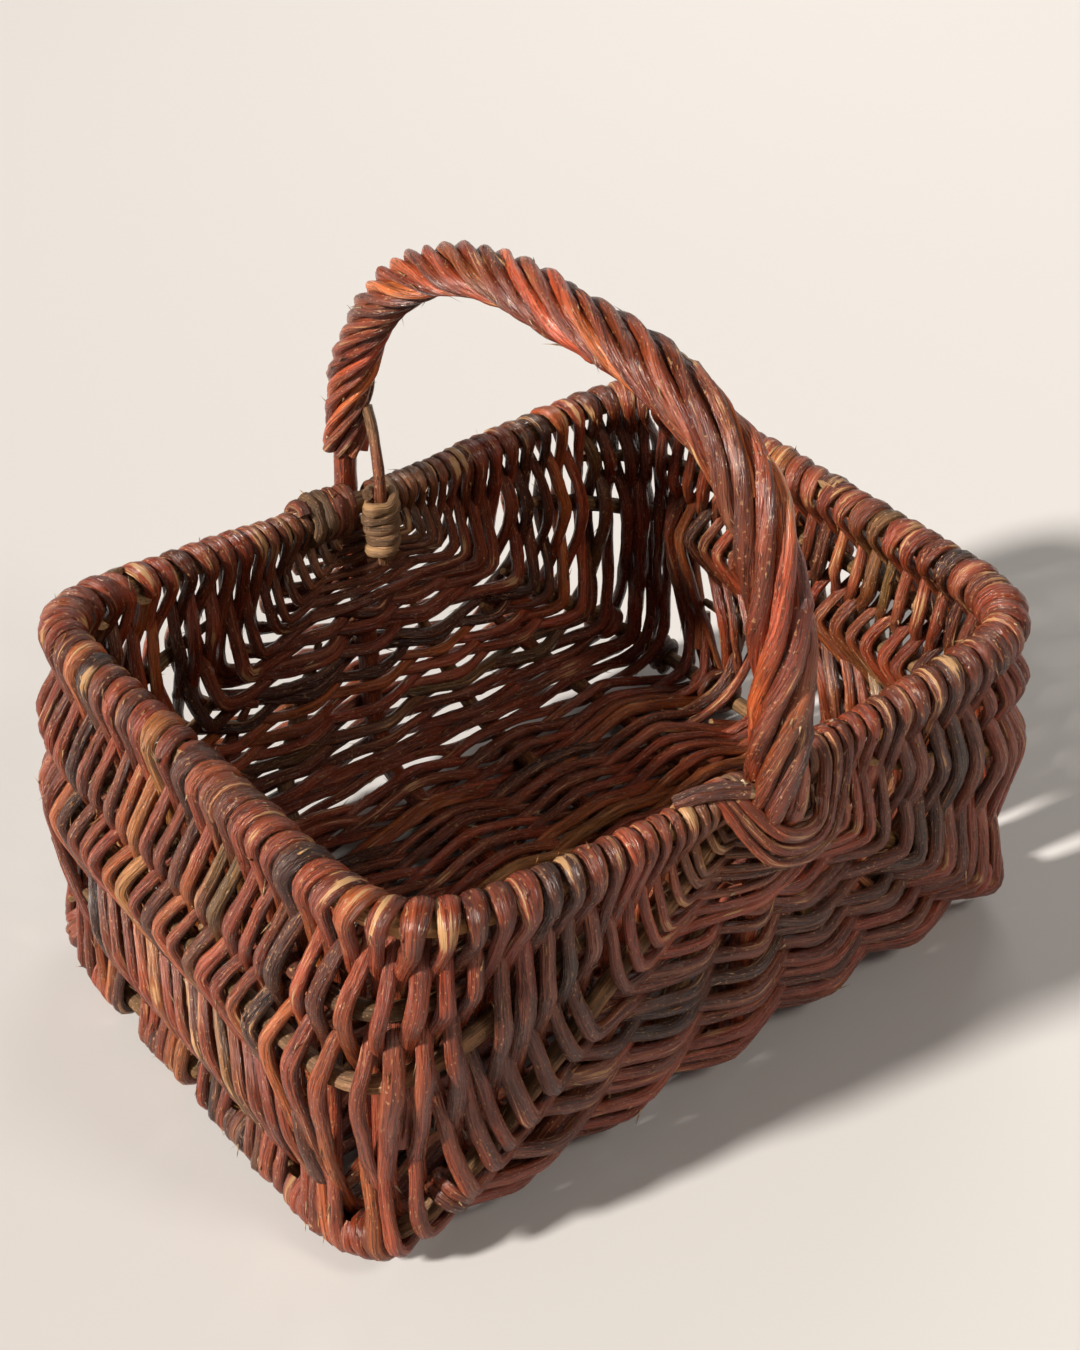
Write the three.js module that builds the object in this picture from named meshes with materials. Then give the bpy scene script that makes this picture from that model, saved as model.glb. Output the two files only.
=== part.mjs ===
// A willow gathering basket with a twisted handle, built on ribs.
// A rim rod and a handle hoop cross at two junctions. Bent ribs run from one junction to the other
// under the basket, and weavers cross them from rim to rim, over one rib and under the next.
// Millimetres, +Z up, X along the basket, the handle across it in the plane x = 0.
import * as THREE from "three";

// Frame rods
const rimHalfLength = 200;
const rimHalfWidth = 158;
const rimSquareness = 8.5;
const rimRadius = 6;
const rimFootHeight = 197;
const rimRise = { leftNear: 14, rightNear: 4, rightFar: 9, leftFar: 12 };
const rimRisePower = 3;
const hoopRadius = 6.5;
const handleTopHeight = 380;
const handleSquareness = { near: 3.4, far: 2.2 };
const hoopLeanDepth = 80;
const fit = 0.3;

// Ribs, from the rim down to the middle: where each turns, as shares of the rim's half length and of the
// height of its foot (or on the base), how square it is, and the first row of weaving on it
const ribRadius = 5;
const ribTipRadius = 2.2;
const ribTaperLength = 46;
const ribTipRowShare = 0.35;
const cornerRaise = 1.4;
const ribs = [
  { name: "upper", turnShare: 1.05, heightShare: 0.81, squareness: 8, firstRow: 11 },
  { name: "middle", turnShare: 1.075, heightShare: 0.59, squareness: 8, firstRow: 5 },
  { name: "lower", turnShare: 1.085, heightShare: 0.345, squareness: 8, firstRow: 19 },
  { name: "corner", turnShare: 1.06, raise: cornerRaise, squareness: 9, firstRow: 0 },
  { name: "outer_base", turnShare: 0.74, raise: 0, squareness: 9, firstRow: 7 },
  { name: "inner_base", turnShare: 0.375, raise: 0, squareness: 9, firstRow: 3 },
];
const hoopBaseSquareness = 9;

// Weavers: willow rods, worked from each junction to the middle of the basket
const weaverWidth = 5;
const firstWeaverWidth = 4.6;
const weaverThickness = 6.2;
const firstRowAt = 42;
const rowsPerHalf = 30;
const weaverFit = 0.8;
const footHalfLength = 3;
const footSlack = 0.3;
const tuckShare = 0.75;
const sharpTurn = THREE.MathUtils.degToRad(38);

// Handle wrap and bindings
const strandCount = 6;
const strandRadius = 4;
const strandTurns = 4.75;
const strandGapAboveRim = 7;
const bindingRadius = 2.1;
const bindingTurns = 4;
const bindingPitch = 4.7;
const tailRadius = 4;
const tailTopShare = 0.375;
const tailBendShare = 0.235;
const tailFootDrop = 23;
const tailGap = 1.7;
const tailBindingRadius = 2.9;
const tailBindingPitch = 6.6;
const tailBindingTurns = 5;
const tailBindingDrop = 17;

// Facets
const rodSides = 6;
const weaverSides = 4;
const strandSides = 5;
const strandSteps = 8;
const coilSides = 6;
const coilSteps = 10;
const gapSamples = 48;
const wrapSteps = 3;
const traceSteps = 400;
const liftRounds = 5;
const tailStations = 8;
const ribStations = 20;
const hoopBaseStations = 22;
const archStations = 30;
const halfRimStations = 24;
const lengthPerBend = 52;

const willow = { peeled: 0x8a6a42, bark: 0x6b2a1c, dark: 0x4d2318, handle: 0x7a3020, binding: 0x9a8468 };

function v(x, y, z) {
  return new THREE.Vector3(x, y, z);
}

function signedPower(value, power) {
  return Math.sign(value) * Math.pow(Math.abs(value), power);
}

function smooth(share) {
  const t = THREE.MathUtils.clamp(share, 0, 1);
  return t * t * (3 - 2 * t);
}

// A line is a row of points with the length along it, so that places on it go by distance.
function measureLine(points) {
  const lengths = [0];
  for (let i = 1; i < points.length; i++) lengths.push(lengths[i - 1] + points[i].distanceTo(points[i - 1]));
  return { points, lengths, length: lengths[lengths.length - 1] };
}

function traceLine(pointAt) {
  const points = [];
  for (let i = 0; i <= traceSteps; i++) points.push(pointAt(i / traceSteps));
  return measureLine(points);
}

// The faceted line that a rod really follows: its points lie closer together where the curve bends.
// turnAt is the distance to the middle of its first turn, a quarter of the way through the curve.
function facetLine(pointAt, count) {
  const traced = traceLine(pointAt);
  const distances = distancesByBend(traced, count);
  const line = measureLine(distances.map((distance) => placeOnLine(traced, distance).point));
  const turnAt = (traced.lengths[traceSteps / 4] / traced.length) * line.length;
  return { ...line, turnAt };
}

function placeOnLine(line, distance) {
  const { points, lengths, length } = line;
  const d = THREE.MathUtils.clamp(distance, 0, length);
  let low = 0;
  let high = lengths.length - 1;
  while (high - low > 1) {
    const middle = (low + high) >> 1;
    if (lengths[middle] <= d) low = middle;
    else high = middle;
  }
  const share = (d - lengths[low]) / (lengths[high] - lengths[low] || 1);
  const point = points[low].clone().lerp(points[high], share);
  const tangent = points[high].clone().sub(points[low]).normalize();
  return { point, tangent };
}

// Distances that lie closer together where the line bends: a radian of bend counts as lengthPerBend.
function distancesByBend(line, count) {
  const { points, lengths } = line;
  const measure = [0];
  for (let i = 1; i < points.length; i++) {
    const step = lengths[i] - lengths[i - 1];
    let bend = 0;
    if (i < points.length - 1) {
      const before = points[i].clone().sub(points[i - 1]);
      const after = points[i + 1].clone().sub(points[i]);
      bend = before.angleTo(after);
    }
    measure.push(measure[i - 1] + step + bend * lengthPerBend);
  }
  const total = measure[measure.length - 1];
  const distances = [];
  let k = 0;
  for (let i = 0; i <= count; i++) {
    const wanted = (total * i) / count;
    while (k < measure.length - 2 && measure[k + 1] < wanted) k++;
    const share = (wanted - measure[k]) / (measure[k + 1] - measure[k] || 1);
    distances.push(lengths[k] + share * (lengths[k + 1] - lengths[k]));
  }
  return distances;
}

// A rod lofted through stations { point, normal, width, thickness, level }: its section stands square to
// the rod with a flat towards the normal, and is mitred where the rod bends. level is the way of a stretch
// whose faces have to keep their planes up to the mitre.
function loftRod(stations, sides, closed = false) {
  const count = stations.length;
  const rings = stations.map((station, i) => {
    const before = stations[(i - 1 + count) % count].point;
    const after = stations[(i + 1) % count].point;
    const arriving = station.point.clone().sub(closed || i > 0 ? before : station.point);
    const leaving = (closed || i < count - 1 ? after.clone() : station.point.clone()).sub(station.point);
    if (arriving.lengthSq() === 0) arriving.copy(leaving);
    if (leaving.lengthSq() === 0) leaving.copy(arriving);
    arriving.normalize();
    leaving.normalize();
    const along = arriving.clone().add(leaving).normalize();
    const axis = station.level?.clone() ?? along;
    if (axis.dot(along) < 0) axis.negate();
    const up = station.normal.clone().addScaledVector(axis, -station.normal.dot(axis)).normalize();
    const side = axis.clone().cross(up);
    const bend = leaving.clone().sub(arriving);
    const stretch = 1 / Math.max(Math.cos(arriving.angleTo(leaving) / 2), Math.SQRT1_2);
    const bendWay = bend.lengthSq() > 0 ? bend.normalize() : null;
    const ring = [];
    const reach = sides === weaverSides ? Math.SQRT2 : 1;
    for (let k = 0; k < sides; k++) {
      const angle = ((k + 0.5) / sides) * 2 * Math.PI + Math.PI / 2;
      const offset = up.clone().multiplyScalar(Math.sin(angle) * reach * station.thickness / 2);
      offset.addScaledVector(side, Math.cos(angle) * reach * station.width / 2);
      if (station.level) offset.addScaledVector(axis, -offset.dot(along) / axis.dot(along));
      else if (bendWay) offset.addScaledVector(bendWay, offset.dot(bendWay) * (stretch - 1));
      ring.push(station.point.clone().add(offset));
    }
    return ring;
  });
  return skinRings(rings, closed);
}

// One closed skin over rings of equal counts, with flat ends on an open rod.
function skinRings(rings, closed) {
  const sides = rings[0].length;
  const positions = rings.flat().flatMap((p) => [p.x, p.y, p.z]);
  const index = [];
  const last = closed ? rings.length : rings.length - 1;
  for (let i = 0; i < last; i++) {
    const a = i * sides;
    const b = ((i + 1) % rings.length) * sides;
    for (let k = 0; k < sides; k++) {
      const next = (k + 1) % sides;
      index.push(a + k, b + k, b + next, a + k, b + next, a + next);
    }
  }
  if (!closed) {
    const end = (rings.length - 1) * sides;
    for (let k = 1; k < sides - 1; k++) {
      index.push(0, k, k + 1);
      index.push(end, end + k + 1, end + k);
    }
  }
  const geometry = new THREE.BufferGeometry();
  geometry.setAttribute("position", new THREE.Float32BufferAttribute(positions, 3));
  geometry.setIndex(index);
  turnOutwards(geometry, index);
  geometry.computeVertexNormals();
  return geometry;
}

// Reverses the triangles if the skin holds a negative volume.
function turnOutwards(geometry, index) {
  const position = geometry.getAttribute("position");
  const [a, b, c] = [new THREE.Vector3(), new THREE.Vector3(), new THREE.Vector3()];
  let volume = 0;
  for (let i = 0; i < index.length; i += 3) {
    a.fromBufferAttribute(position, index[i]);
    b.fromBufferAttribute(position, index[i + 1]);
    c.fromBufferAttribute(position, index[i + 2]);
    volume += a.dot(b.cross(c));
  }
  if (volume < 0) geometry.setIndex(index.reverse());
}

// Rim: a squared loop that dips where the handle stands on it.
function rimRiseAt(x, y) {
  const across = (y / rimHalfWidth + 1) / 2;
  const rise =
    x < 0
      ? THREE.MathUtils.lerp(rimRise.leftNear, rimRise.leftFar, across)
      : THREE.MathUtils.lerp(rimRise.rightNear, rimRise.rightFar, across);
  return rise * Math.pow(Math.abs(x / rimHalfLength), rimRisePower);
}

// Half of the rim from the near junction round one end to the far junction.
function rimPoint(side, share) {
  const angle = share * Math.PI;
  const x = side * rimHalfLength * signedPower(Math.sin(angle), 2 / rimSquareness);
  const y = -rimHalfWidth * signedPower(Math.cos(angle), 2 / rimSquareness);
  return v(x, y, rimFootHeight + rimRiseAt(x, y));
}

// A rib lies in one plane through both junctions, bent square at its two turns.
const weaverReach = weaverThickness + weaverFit + footSlack;

function baseHeight(radius, raise = 0) {
  return radius + weaverReach + raise;
}

function ribPoint(rib, side, share) {
  const angle = share * Math.PI;
  const reach = signedPower(Math.sin(angle), 2 / rib.squareness);
  const y = -rimHalfWidth * signedPower(Math.cos(angle), 2 / rib.squareness);
  const height = rib.heightShare ? rimFootHeight * rib.heightShare : baseHeight(ribRadius, rib.raise);
  const x = side * rimHalfLength * rib.turnShare * reach;
  return v(x, y, THREE.MathUtils.lerp(rimFootHeight, height, reach));
}

// Hoop: the handle's arch above the rim, and the middle rib below it. It passes outside the rim.
const hoopStepOut = rimRadius + hoopRadius + fit;
const handleRise = handleTopHeight - rimFootHeight;

function hoopBasePoint(share) {
  const angle = share * Math.PI;
  const depth = rimFootHeight - baseHeight(hoopRadius);
  const drop = depth * signedPower(Math.sin(angle), 2 / hoopBaseSquareness);
  const stepOut = hoopStepOut * smooth(1 - drop / hoopLeanDepth);
  const y = -(rimHalfWidth + stepOut) * signedPower(Math.cos(angle), 2 / hoopBaseSquareness);
  return v(0, y, rimFootHeight - drop);
}

function hoopArchPoint(share) {
  const angle = share * Math.PI;
  const squareness = share < 0.5 ? handleSquareness.near : handleSquareness.far;
  const y = -(rimHalfWidth + hoopStepOut) * signedPower(Math.cos(angle), 2 / squareness);
  const rise = handleRise * signedPower(Math.sin(angle), 2 / squareness);
  return v(0, y, rimFootHeight + rise);
}

const rimLines = {
  left: facetLine((share) => rimPoint(-1, share), halfRimStations),
  right: facetLine((share) => rimPoint(1, share), halfRimStations),
};
const hoopBaseLine = facetLine(hoopBasePoint, hoopBaseStations);
const archLine = facetLine(hoopArchPoint, archStations);

// Rows of weaving lie at the same share of the way along the rim and along every rib, and all of them
// turn at the same row.
const rimLength = (rimLines.left.length + rimLines.right.length) / 2;
const rowPitch = (rimLength / 2 - firstRowAt) / (rowsPerHalf - 0.5);

function rowShare(row) {
  return (firstRowAt + row * rowPitch) / rimLength;
}

const rimTurnShare = rimLines.right.turnAt / rimLines.right.length;

function rowDistance(line, share) {
  const fromEnd = Math.min(share, 1 - share);
  const pastTurn = (fromEnd - rimTurnShare) / (0.5 - rimTurnShare);
  const distance =
    pastTurn < 0
      ? (fromEnd / rimTurnShare) * line.turnAt
      : THREE.MathUtils.lerp(line.turnAt, line.length / 2, pastTurn);
  return share < 0.5 ? distance : line.length - distance;
}

// The lines that a row crosses, from the left rim to the right rim.
const crossings = [
  { line: rimLines.left, radius: rimRadius, isRim: true, firstRow: 0 },
  ...ribs.map((rib) => ribCrossing(rib, -1)),
  { line: hoopBaseLine, radius: hoopRadius, firstRow: 0 },
  ...[...ribs].reverse().map((rib) => ribCrossing(rib, 1)),
  { line: rimLines.right, radius: rimRadius, isRim: true, firstRow: 0 },
];

// A rib's pointed end lies ribTipRowShare of a row before the first row that crosses it.
function ribCrossing(rib, side) {
  const line = facetLine((share) => ribPoint(rib, side, share), ribStations);
  const startAt = rowDistance(line, rowShare(rib.firstRow - ribTipRowShare));
  return { line, radius: ribRadius, firstRow: rib.firstRow, startAt, rib, side };
}

function ribRadiusAt(crossing, distance) {
  const fromTip = Math.min(distance, crossing.line.length - distance) - crossing.startAt;
  const share = THREE.MathUtils.clamp(fromTip / ribTaperLength, 0, 1);
  return THREE.MathUtils.lerp(ribTipRadius, ribRadius, share);
}

const middle = v(0, 0, rimFootHeight / 2);

function outwards(normal, point) {
  return normal.dot(point.clone().sub(middle)) < 0 ? normal.negate() : normal;
}

// How far a way leans along a rod that it crosses, as a tangent.
function slantAcross(tangent, way) {
  const along = Math.abs(way.dot(tangent));
  return along / Math.sqrt(way.lengthSq() - along * along);
}

function crossingRadius(crossing, distance) {
  return crossing.rib ? ribRadiusAt(crossing, distance) : crossing.radius;
}

// The places where one row crosses the rim and the ribs that reach that far.
function rowPlaces(half, row) {
  const share = half === "near" ? rowShare(row) : 1 - rowShare(row);
  return crossings
    .filter((crossing) => row >= crossing.firstRow)
    .map((crossing) => {
      const distance = rowDistance(crossing.line, share);
      const steps = [-weaverWidth / 2, weaverWidth / 2];
      const beside = steps.map((step) => placeOnLine(crossing.line, distance + step).point);
      return {
        point: placeOnLine(crossing.line, distance).point,
        tangent: beside[1].clone().sub(beside[0]).normalize(),
        beside,
        crossing,
        radius: crossingRadius(crossing, distance),
      };
    });
}

// How far each place of a row stands off its rod, so that the slanting ways to both neighbours clear it.
function rowLifts(places) {
  const seats = places.map((place) => place.radius + weaverThickness / 2 + weaverFit);
  const ways = places.slice(1).map((place, i) => place.point.clone().sub(places[i].point));
  let lifts = seats;
  for (let round = 0; round < liftRounds; round++) {
    lifts = seats.map((seat, i) => {
      let lift = seat;
      for (const [way, other] of [[ways[i - 1], lifts[i - 1]], [ways[i], lifts[i + 1]]]) {
        if (!way) continue;
        const slope = (lifts[i] + other) / way.length();
        const slant = slantAcross(places[i].tangent, way);
        lift = Math.max(lift, seat * Math.hypot(1, slope) + (weaverWidth / 2) * slant * slope);
      }
      return lift;
    });
  }
  return { seats, lifts };
}

// Stations of one row. outside is 1 where the row leaves the rim on its outer side. The same face of the
// weaver looks outwards, or inwards, all along the row, so that the rod isn't twisted.
function rowStations(places, outside) {
  const { seats, lifts } = rowLifts(places);
  const stations = [];
  places.forEach((place, i) => {
    if (place.crossing.isRim) return;
    const side = outside * (i % 2 === 0 ? 1 : -1);
    const before = place.point.clone().sub(places[i - 1].point);
    const after = places[i + 1].point.clone().sub(place.point);
    const [normalBefore, normalAfter] = [before, after].map((way) =>
      outwards(place.tangent.clone().cross(way).normalize(), place.point),
    );
    const normal = normalBefore.clone().add(normalAfter).normalize();
    const turn = normalBefore.angleTo(normalAfter);
    if (side > 0 && turn > sharpTurn) {
      for (const around of [normalBefore, normal, normalAfter]) {
        const point = place.point.clone().addScaledVector(around, seats[i] / Math.cos(turn / 4));
        stations.push({ point, normal: around.clone().multiplyScalar(outside) });
      }
    } else if (side > 0 && normal.z < -Math.cos(sharpTurn / 2)) {
      stations.push(...footStations(place, seats[i], before.clone().add(after), outside));
    } else {
      const lean = Math.acos(seats[i] / lifts[i]) + (side > 0 ? turn / 2 : 0);
      const bows = place.beside.map((point) => point.clone().sub(place.point).dot(normal) * side);
      const lift = seats[i] / Math.cos(lean) + Math.max(0, ...bows);
      stations.push({
        point: place.point.clone().addScaledVector(normal, side * lift),
        normal: normal.clone().multiplyScalar(outside),
      });
    }
  });
  return stations;
}

// A weaver that passes under a base rib lies level there, on a short flat.
function footStations(place, seat, way, outside) {
  const tilt = Math.asin(Math.abs(place.tangent.z));
  const drop = seat / Math.cos(tilt) + (weaverWidth / 2) * Math.tan(tilt);
  const along = way.setZ(0).normalize();
  return [-footHalfLength, footHalfLength].map((step) => {
    const point = place.point.clone().addScaledVector(along, step);
    point.z -= drop;
    if (point.z < weaverThickness / 2 + 2 * footSlack) point.z = weaverThickness / 2;
    return { point, normal: v(0, 0, -outside), level: along };
  });
}

const rimSeat = rimRadius + weaverThickness / 2 + weaverFit;

// How far a row goes on round the rim, so that its way to the other side of the next rod clears the rim.
function leanAtRim(places, side) {
  const [rim, next] = side === "left" ? places : [...places].reverse();
  const seat = next.radius + weaverThickness / 2 + weaverFit;
  return Math.asin((rimSeat + seat) / rim.point.distanceTo(next.point));
}

// Stations that take a weaver over the rim, from one side at one place to the other side at the next.
// turns are the angles where it arrives and leaves: 0 is level with the rim on the side that it comes from.
function wrapStations(rimLine, distances, fromOutside, turns) {
  const seat = rimSeat / Math.cos((turns[1] - turns[0]) / wrapSteps / 2);
  const stations = [];
  for (let k = 0; k <= wrapSteps; k++) {
    const turn = THREE.MathUtils.lerp(turns[0], turns[1], k / wrapSteps);
    const distance = THREE.MathUtils.lerp(distances[0], distances[1], k / wrapSteps);
    const { point, tangent } = placeOnLine(rimLine, distance);
    const out = outwards(v(tangent.y, -tangent.x, 0).normalize(), point);
    const angle = fromOutside ? turn : Math.PI - turn;
    const radial = out.clone().multiplyScalar(Math.cos(angle)).addScaledVector(v(0, 0, 1), Math.sin(angle));
    stations.push({ point: point.clone().addScaledVector(radial, seat), normal: radial });
  }
  return stations;
}

function withWeaverSize(stations, width) {
  return stations.map((station) => ({ width, thickness: weaverThickness, ...station }));
}

// One weaver: two rows joined over the rim at one end, with both tips tucked over the rim at the other.
function weaverGeometry(half, rows, joinedSide, width) {
  const tuckedSide = joinedSide === "right" ? "left" : "right";
  const joined = rimLines[joinedSide];
  const tucked = rimLines[tuckedSide];
  const places = rows.map((row) => rowPlaces(half, row));
  const shares = rows.map((row) => (half === "near" ? rowShare(row) : 1 - rowShare(row)));
  const ordered = (stations) => (joinedSide === "right" ? stations : [...stations].reverse());
  const joinedLeans = places.map((each) => leanAtRim(each, joinedSide));
  const tuckedLeans = places.map((each) => leanAtRim(each, tuckedSide));
  const tuckAt = shares.map((share) => [rowDistance(tucked, share), rowDistance(tucked, share)]);
  const tuckTurn = tuckShare * Math.PI;
  const joinAt = shares.map((share) => rowDistance(joined, share));
  const joinTurns = [-joinedLeans[0], Math.PI + joinedLeans[1]];
  const stations = [
    ...wrapStations(tucked, tuckAt[0], true, [-tuckedLeans[0], tuckTurn]).reverse(),
    ...ordered(rowStations(places[0], 1)),
    ...wrapStations(joined, joinAt, true, joinTurns),
    ...ordered(rowStations(places[1], -1)).reverse(),
    ...wrapStations(tucked, tuckAt[1], false, [-tuckedLeans[1], tuckTurn]),
  ];
  return loftRod(withWeaverSize(stations, width), weaverSides);
}

function roundRod(line, distances, radiusAt, normal, closed = false) {
  const stations = distances.map((distance) => {
    const size = 2 * radiusAt(distance);
    return { point: placeOnLine(line, distance).point, normal, width: size, thickness: size };
  });
  return loftRod(stations, rodSides, closed);
}

// A coil of round rod that follows a line at a steady pitch. It measures its least gap to itself.
function coilGeometry(name, placeAt, coil) {
  const { turns, pitch, innerRadius, radius, steps, sides } = coil;
  const coilRadius = (innerRadius + radius + fit) / Math.cos(Math.PI / steps);
  const stationAt = (turn) => {
    const { point, first, second } = placeAt(turn * pitch);
    const angle = turn * 2 * Math.PI;
    const radial = first.clone().multiplyScalar(Math.cos(angle)).addScaledVector(second, Math.sin(angle));
    point.addScaledVector(radial, coilRadius);
    return { point, normal: radial, width: 2 * radius, thickness: 2 * radius };
  };
  const spread = (perTurn) => {
    const count = Math.round(turns * perTurn) + 1;
    return Array.from({ length: count }, (_, i) => stationAt(i / perTurn));
  };
  const samples = spread(gapSamples).map((station) => station.point);
  let leastGap = Infinity;
  samples.forEach((point, i) => {
    for (let j = i + gapSamples / 2; j < samples.length; j++) {
      leastGap = Math.min(leastGap, point.distanceTo(samples[j]) - 2 * radius);
    }
  });
  console.log(`${name}: least gap to itself ${leastGap.toFixed(2)} mm`);
  return loftRod(spread(steps), sides);
}

const basket = new THREE.Group();

function addPiece(name, geometry, colour) {
  const material = new THREE.MeshStandardMaterial({ color: colour, roughness: 0.6, metalness: 0 });
  const mesh = new THREE.Mesh(geometry, material);
  mesh.name = name;
  basket.add(mesh);
}

// Rim rod
const rimLoop = measureLine([...rimLines.right.points, ...[...rimLines.left.points].reverse().slice(1)]);
const rimPlaces = rimLoop.lengths.slice(0, -1);
addPiece("rim_rod", roundRod(rimLoop, rimPlaces, () => rimRadius, v(0, 0, 1), true), willow.peeled);

// Handle hoop
const hoopLoop = measureLine([...archLine.points, ...[...hoopBaseLine.points].reverse().slice(1)]);
const hoopPlaces = hoopLoop.lengths.slice(0, -1);
addPiece("handle_hoop", roundRod(hoopLoop, hoopPlaces, () => hoopRadius, v(1, 0, 0), true), willow.peeled);

// Ribs
for (const crossing of crossings.filter((each) => each.rib)) {
  const { line, startAt, rib, side } = crossing;
  const fullAt = startAt + ribTaperLength;
  const bends = line.lengths.filter((distance) => {
    const fromEnd = Math.min(distance, line.length - distance);
    return fromEnd > startAt + ribRadius && Math.abs(fromEnd - fullAt) > ribTipRadius;
  });
  const taper = [startAt, fullAt, line.length - fullAt, line.length - startAt];
  const places = [...taper, ...bends].sort((a, b) => a - b);
  const down = v(side * rimHalfLength * rib.turnShare, 0, -rimFootHeight);
  const geometry = roundRod(line, places, (distance) => ribRadiusAt(crossing, distance), down);
  addPiece(`${side < 0 ? "left" : "right"}_${rib.name}_rib`, geometry, willow.peeled);
}

// Weavers
for (const half of ["near", "far"]) {
  for (let i = 0; i < rowsPerHalf / 2; i++) {
    const number = String(i + 1).padStart(2, "0");
    const joinedSide = i % 2 === 0 ? "right" : "left";
    const width = i === 0 ? firstWeaverWidth : weaverWidth;
    const geometry = weaverGeometry(half, [2 * i, 2 * i + 1], joinedSide, width);
    addPiece(`${half}_weaver_${number}`, geometry, i % 3 ? willow.bark : willow.dark);
  }
}

// Handle wrap: strands twisted round the hoop from foot to foot
const strandStart = rimRadius + weaverThickness + strandGapAboveRim;
const strandPitch = (archLine.length - 2 * strandStart) / strandTurns;
const strandReach = hoopRadius + 2 * strandRadius + fit;
for (let i = 0; i < strandCount; i++) {
  const placeAt = (distance) => {
    const { point, tangent } = placeOnLine(archLine, strandStart + distance);
    const across = v(1, 0, 0).applyAxisAngle(tangent, (i / strandCount) * 2 * Math.PI);
    return { point, first: across, second: tangent.clone().cross(across) };
  };
  const name = `handle_strand_${i + 1}`;
  const strand = { turns: strandTurns, pitch: strandPitch, innerRadius: hoopRadius };
  const rod = { radius: strandRadius, steps: strandSteps, sides: strandSides };
  addPiece(name, coilGeometry(name, placeAt, { ...strand, ...rod }), willow.handle);
}

// Rim bindings on both sides of each junction
const bindingStart = hoopRadius + bindingRadius + fit;
const coilFacets = { steps: coilSteps, sides: coilSides };
const rimBinding = {
  turns: bindingTurns,
  pitch: bindingPitch,
  innerRadius: rimRadius,
  radius: bindingRadius,
  ...coilFacets,
};
for (const [half, isFar] of [["near", false], ["far", true]]) {
  for (const [sideName, line] of Object.entries(rimLines)) {
    const placeAt = (distance) => {
      const along = bindingStart + distance;
      const { point, tangent } = placeOnLine(line, isFar ? line.length - along : along);
      const out = outwards(v(tangent.y, -tangent.x, 0).normalize(), point);
      return { point, first: v(0, 0, -1), second: out };
    };
    const name = `${half}_${sideName}_binding`;
    addPiece(name, coilGeometry(name, placeAt, rimBinding), willow.binding);
  }
}

// A strand's tail comes down inside the far junction and is tied there.
const tailReach = (tailRadius + tailBindingRadius + fit) / Math.cos(Math.PI / coilSteps) + tailBindingRadius;
const tailInset = rimHalfWidth - rimRadius - tailReach - fit;
const insetShare = Math.pow(1 - Math.pow(tailTopShare, handleSquareness.far), 1 / handleSquareness.far);
const legAtTop = (rimHalfWidth + hoopStepOut) * insetShare;
const tailCurve = new THREE.CatmullRomCurve3([
  v(0, legAtTop - strandReach - tailRadius - tailGap, rimFootHeight + handleRise * tailTopShare),
  v(0, tailInset, rimFootHeight + handleRise * tailBendShare),
  v(0, tailInset, rimFootHeight - tailFootDrop),
]);
const tailLine = facetLine((share) => tailCurve.getPoint(share), tailStations);
addPiece("far_handle_tail", roundRod(tailLine, tailLine.lengths, () => tailRadius, v(1, 0, 0)), willow.dark);
const tailPlaceAt = (distance) => ({
  point: v(0, tailInset, rimFootHeight - tailBindingDrop + distance),
  first: v(0, 1, 0),
  second: v(-1, 0, 0),
});
const tailBinding = {
  turns: tailBindingTurns,
  pitch: tailBindingPitch,
  innerRadius: tailRadius,
  radius: tailBindingRadius,
  ...coilFacets,
};
addPiece("far_tail_binding", coilGeometry("far_tail_binding", tailPlaceAt, tailBinding), willow.binding);

// The origin is on the surface that the basket stands on, under the middle of its box.
const box = new THREE.Box3().setFromObject(basket);
const boxMiddle = box.getCenter(new THREE.Vector3());
basket.position.set(-boxMiddle.x, -boxMiddle.y, -box.min.z);

export default basket;
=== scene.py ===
# A willow gathering basket: unpeeled rods woven over bent ribs, with a twisted handle.
# Lengths are in millimetres until a mesh is made, where they become metres.
import math

import bpy
import numpy as np
from mathutils import Matrix, Vector


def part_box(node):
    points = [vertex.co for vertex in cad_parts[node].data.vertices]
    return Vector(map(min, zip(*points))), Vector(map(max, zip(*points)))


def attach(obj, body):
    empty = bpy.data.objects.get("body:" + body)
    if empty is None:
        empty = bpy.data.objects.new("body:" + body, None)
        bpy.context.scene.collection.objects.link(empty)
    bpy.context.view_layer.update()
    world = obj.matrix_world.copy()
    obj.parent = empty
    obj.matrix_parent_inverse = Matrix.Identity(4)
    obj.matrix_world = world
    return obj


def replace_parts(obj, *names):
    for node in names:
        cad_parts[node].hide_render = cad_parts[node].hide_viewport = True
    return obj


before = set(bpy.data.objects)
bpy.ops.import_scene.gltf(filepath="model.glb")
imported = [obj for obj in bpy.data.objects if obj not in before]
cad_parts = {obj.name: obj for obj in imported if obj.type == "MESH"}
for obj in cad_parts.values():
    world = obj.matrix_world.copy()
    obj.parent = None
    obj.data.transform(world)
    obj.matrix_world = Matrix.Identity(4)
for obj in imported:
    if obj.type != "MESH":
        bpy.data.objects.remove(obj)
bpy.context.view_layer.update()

MM = 0.001
rng = np.random.default_rng(11)

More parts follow.
